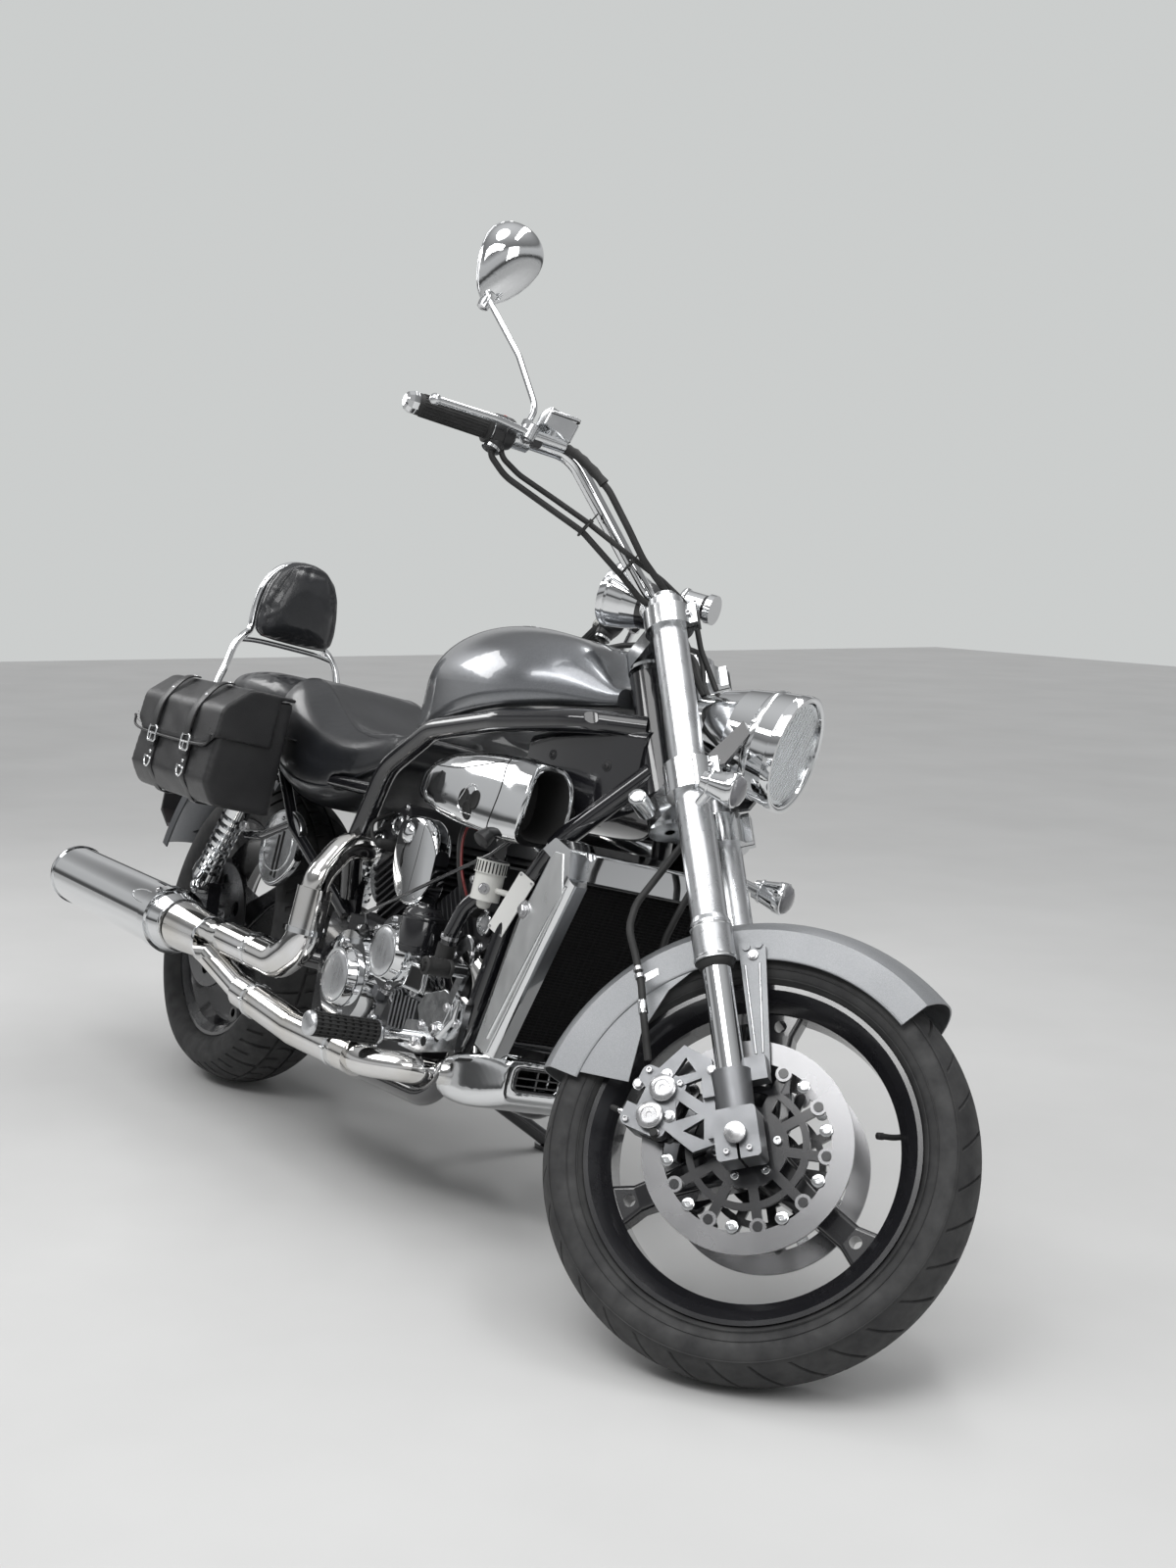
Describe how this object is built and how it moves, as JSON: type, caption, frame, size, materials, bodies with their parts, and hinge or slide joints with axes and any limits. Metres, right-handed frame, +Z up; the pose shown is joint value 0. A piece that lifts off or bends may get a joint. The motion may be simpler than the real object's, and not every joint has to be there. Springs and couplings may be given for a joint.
{
  "type": "cruiser motorcycle",
  "caption": "Two-wheeled cruiser leaning on its side stand, with a V engine, pulled-back bar, backrest and leather side bags.",
  "frame": {"origin": "on the ground, at the middle of the space that the leaning machine takes up", "axes": "+X forward, +Y to the machine's left, +Z up; the machine leans 14 degrees to its left"},
  "size_m": [2.4077, 0.7727, 1.643],
  "materials": {
    "frame_black": "gloss",
    "bright_steel": "satin",
    "chrome": "polished",
    "belt_rubber": "matt",
    "engine_black": "satin",
    "body_silver": "metallic gloss",
    "seat_leather": "semi-gloss",
    "red_lens": "gloss",
    "satin_cover": "satin",
    "radiator_black": "matt",
    "black_rubber": "matt",
    "bag_leather": "satin",
    "satin_aluminium": "satin",
    "cast_aluminium": "cast",
    "polished_aluminium": "polished",
    "clear_lens": "clear",
    "black_trim": "satin",
    "wheel_black": "gloss",
    "tyre": "matt",
    "disc_steel": "ground",
    "white_plastic": "gloss"
  },
  "bodies": {
    "chassis": {"frame": "frame_black", "swingarm": "frame_black", "rear_axle": "bright_steel", "shocks": "chrome", "drive_belt": "belt_rubber", "engine_block": "engine_black", "cylinders": "engine_black", "engine_covers": "chrome", "fuel_tank": "body_silver", "rider_seat": "seat_leather", "passenger_seat": "seat_leather", "rear_fender": "body_silver", "rear_lamps": "red_lens", "fuel_cap": "chrome", "rear_caliper": "cast_aluminium", "coolant_bottle": "white_plastic", "coolant_hose": "black_rubber", "sissy_bar": "chrome", "backrest_pad": "seat_leather", "side_covers": "satin_cover", "intake_scoops": "chrome", "radiator": "radiator_black", "radiator_shroud": "chrome", "belly_pan": "chrome", "muffler": "chrome", "exhaust_headers": "chrome", "foot_controls": "chrome", "footpeg_rubbers": "black_rubber", "left_bag": "bag_leather", "right_bag": "bag_leather"},
    "steering": {"fork_outer_tubes": "satin_aluminium", "fork_stanchions": "chrome", "fork_feet": "cast_aluminium", "lower_clamp": "polished_aluminium", "upper_clamp": "polished_aluminium", "front_axle": "bright_steel", "front_calipers": "cast_aluminium", "front_fender": "body_silver", "handlebar": "chrome", "grips": "black_rubber", "hand_controls": "polished_aluminium", "mirrors": "chrome", "headlight_shell": "chrome", "headlight_lens": "clear_lens", "instrument_pod": "chrome", "headlight_arms": "black_trim", "front_indicators": "chrome", "cables": "black_rubber"},
    "front_wheel": {"front_rim": "wheel_black", "front_tyre": "tyre", "front_discs": "disc_steel", "front_disc_carriers": "wheel_black"},
    "rear_wheel": {"rear_rim": "wheel_black", "rear_tyre": "tyre", "rear_disc": "disc_steel", "rear_pulley": "cast_aluminium"},
    "side_stand": {"side_stand": "black_trim"},
    "left_lid": {"left_bag_lid": "bag_leather"},
    "right_lid": {"right_bag_lid": "bag_leather"}
  },
  "joints": [
    {"name": "steering", "type": "hinge", "parent": "chassis", "child": "steering", "pos_m": [0.51455, 0.06603, 0.83001], "axis": [-0.5348, 0.2044, 0.8199], "range_deg": [-76, 0]},
    {"name": "front_wheel_spin", "type": "hinge", "parent": "steering", "child": "front_wheel", "pos_m": [0.92486, -0.03166, 0.28043], "axis": [-0.5202, 0.6849, -0.5101], "continuous": true},
    {"name": "rear_wheel_spin", "type": "hinge", "parent": "chassis", "child": "rear_wheel", "pos_m": [-0.75398, -0.06382, 0.30923], "axis": [0, 0.9703, -0.2419], "continuous": true},
    {"name": "side_stand_fold", "type": "hinge", "parent": "chassis", "child": "side_stand", "pos_m": [-0.04982, 0.05139, 0.143], "axis": [0, 0.6406, 0.7678], "range_deg": [0, 92]},
    {"name": "left_lid_open", "type": "hinge", "parent": "chassis", "child": "left_lid", "pos_m": [-0.5559, 0.26003, 0.72353], "axis": [1, -0.0016, -0.0062], "range_deg": [0, 105]},
    {"name": "right_lid_open", "type": "hinge", "parent": "chassis", "child": "right_lid", "pos_m": [-0.5559, -0.15526, 0.82707], "axis": [-1, 0.0016, 0.0062], "range_deg": [0, 105]}
  ]
}
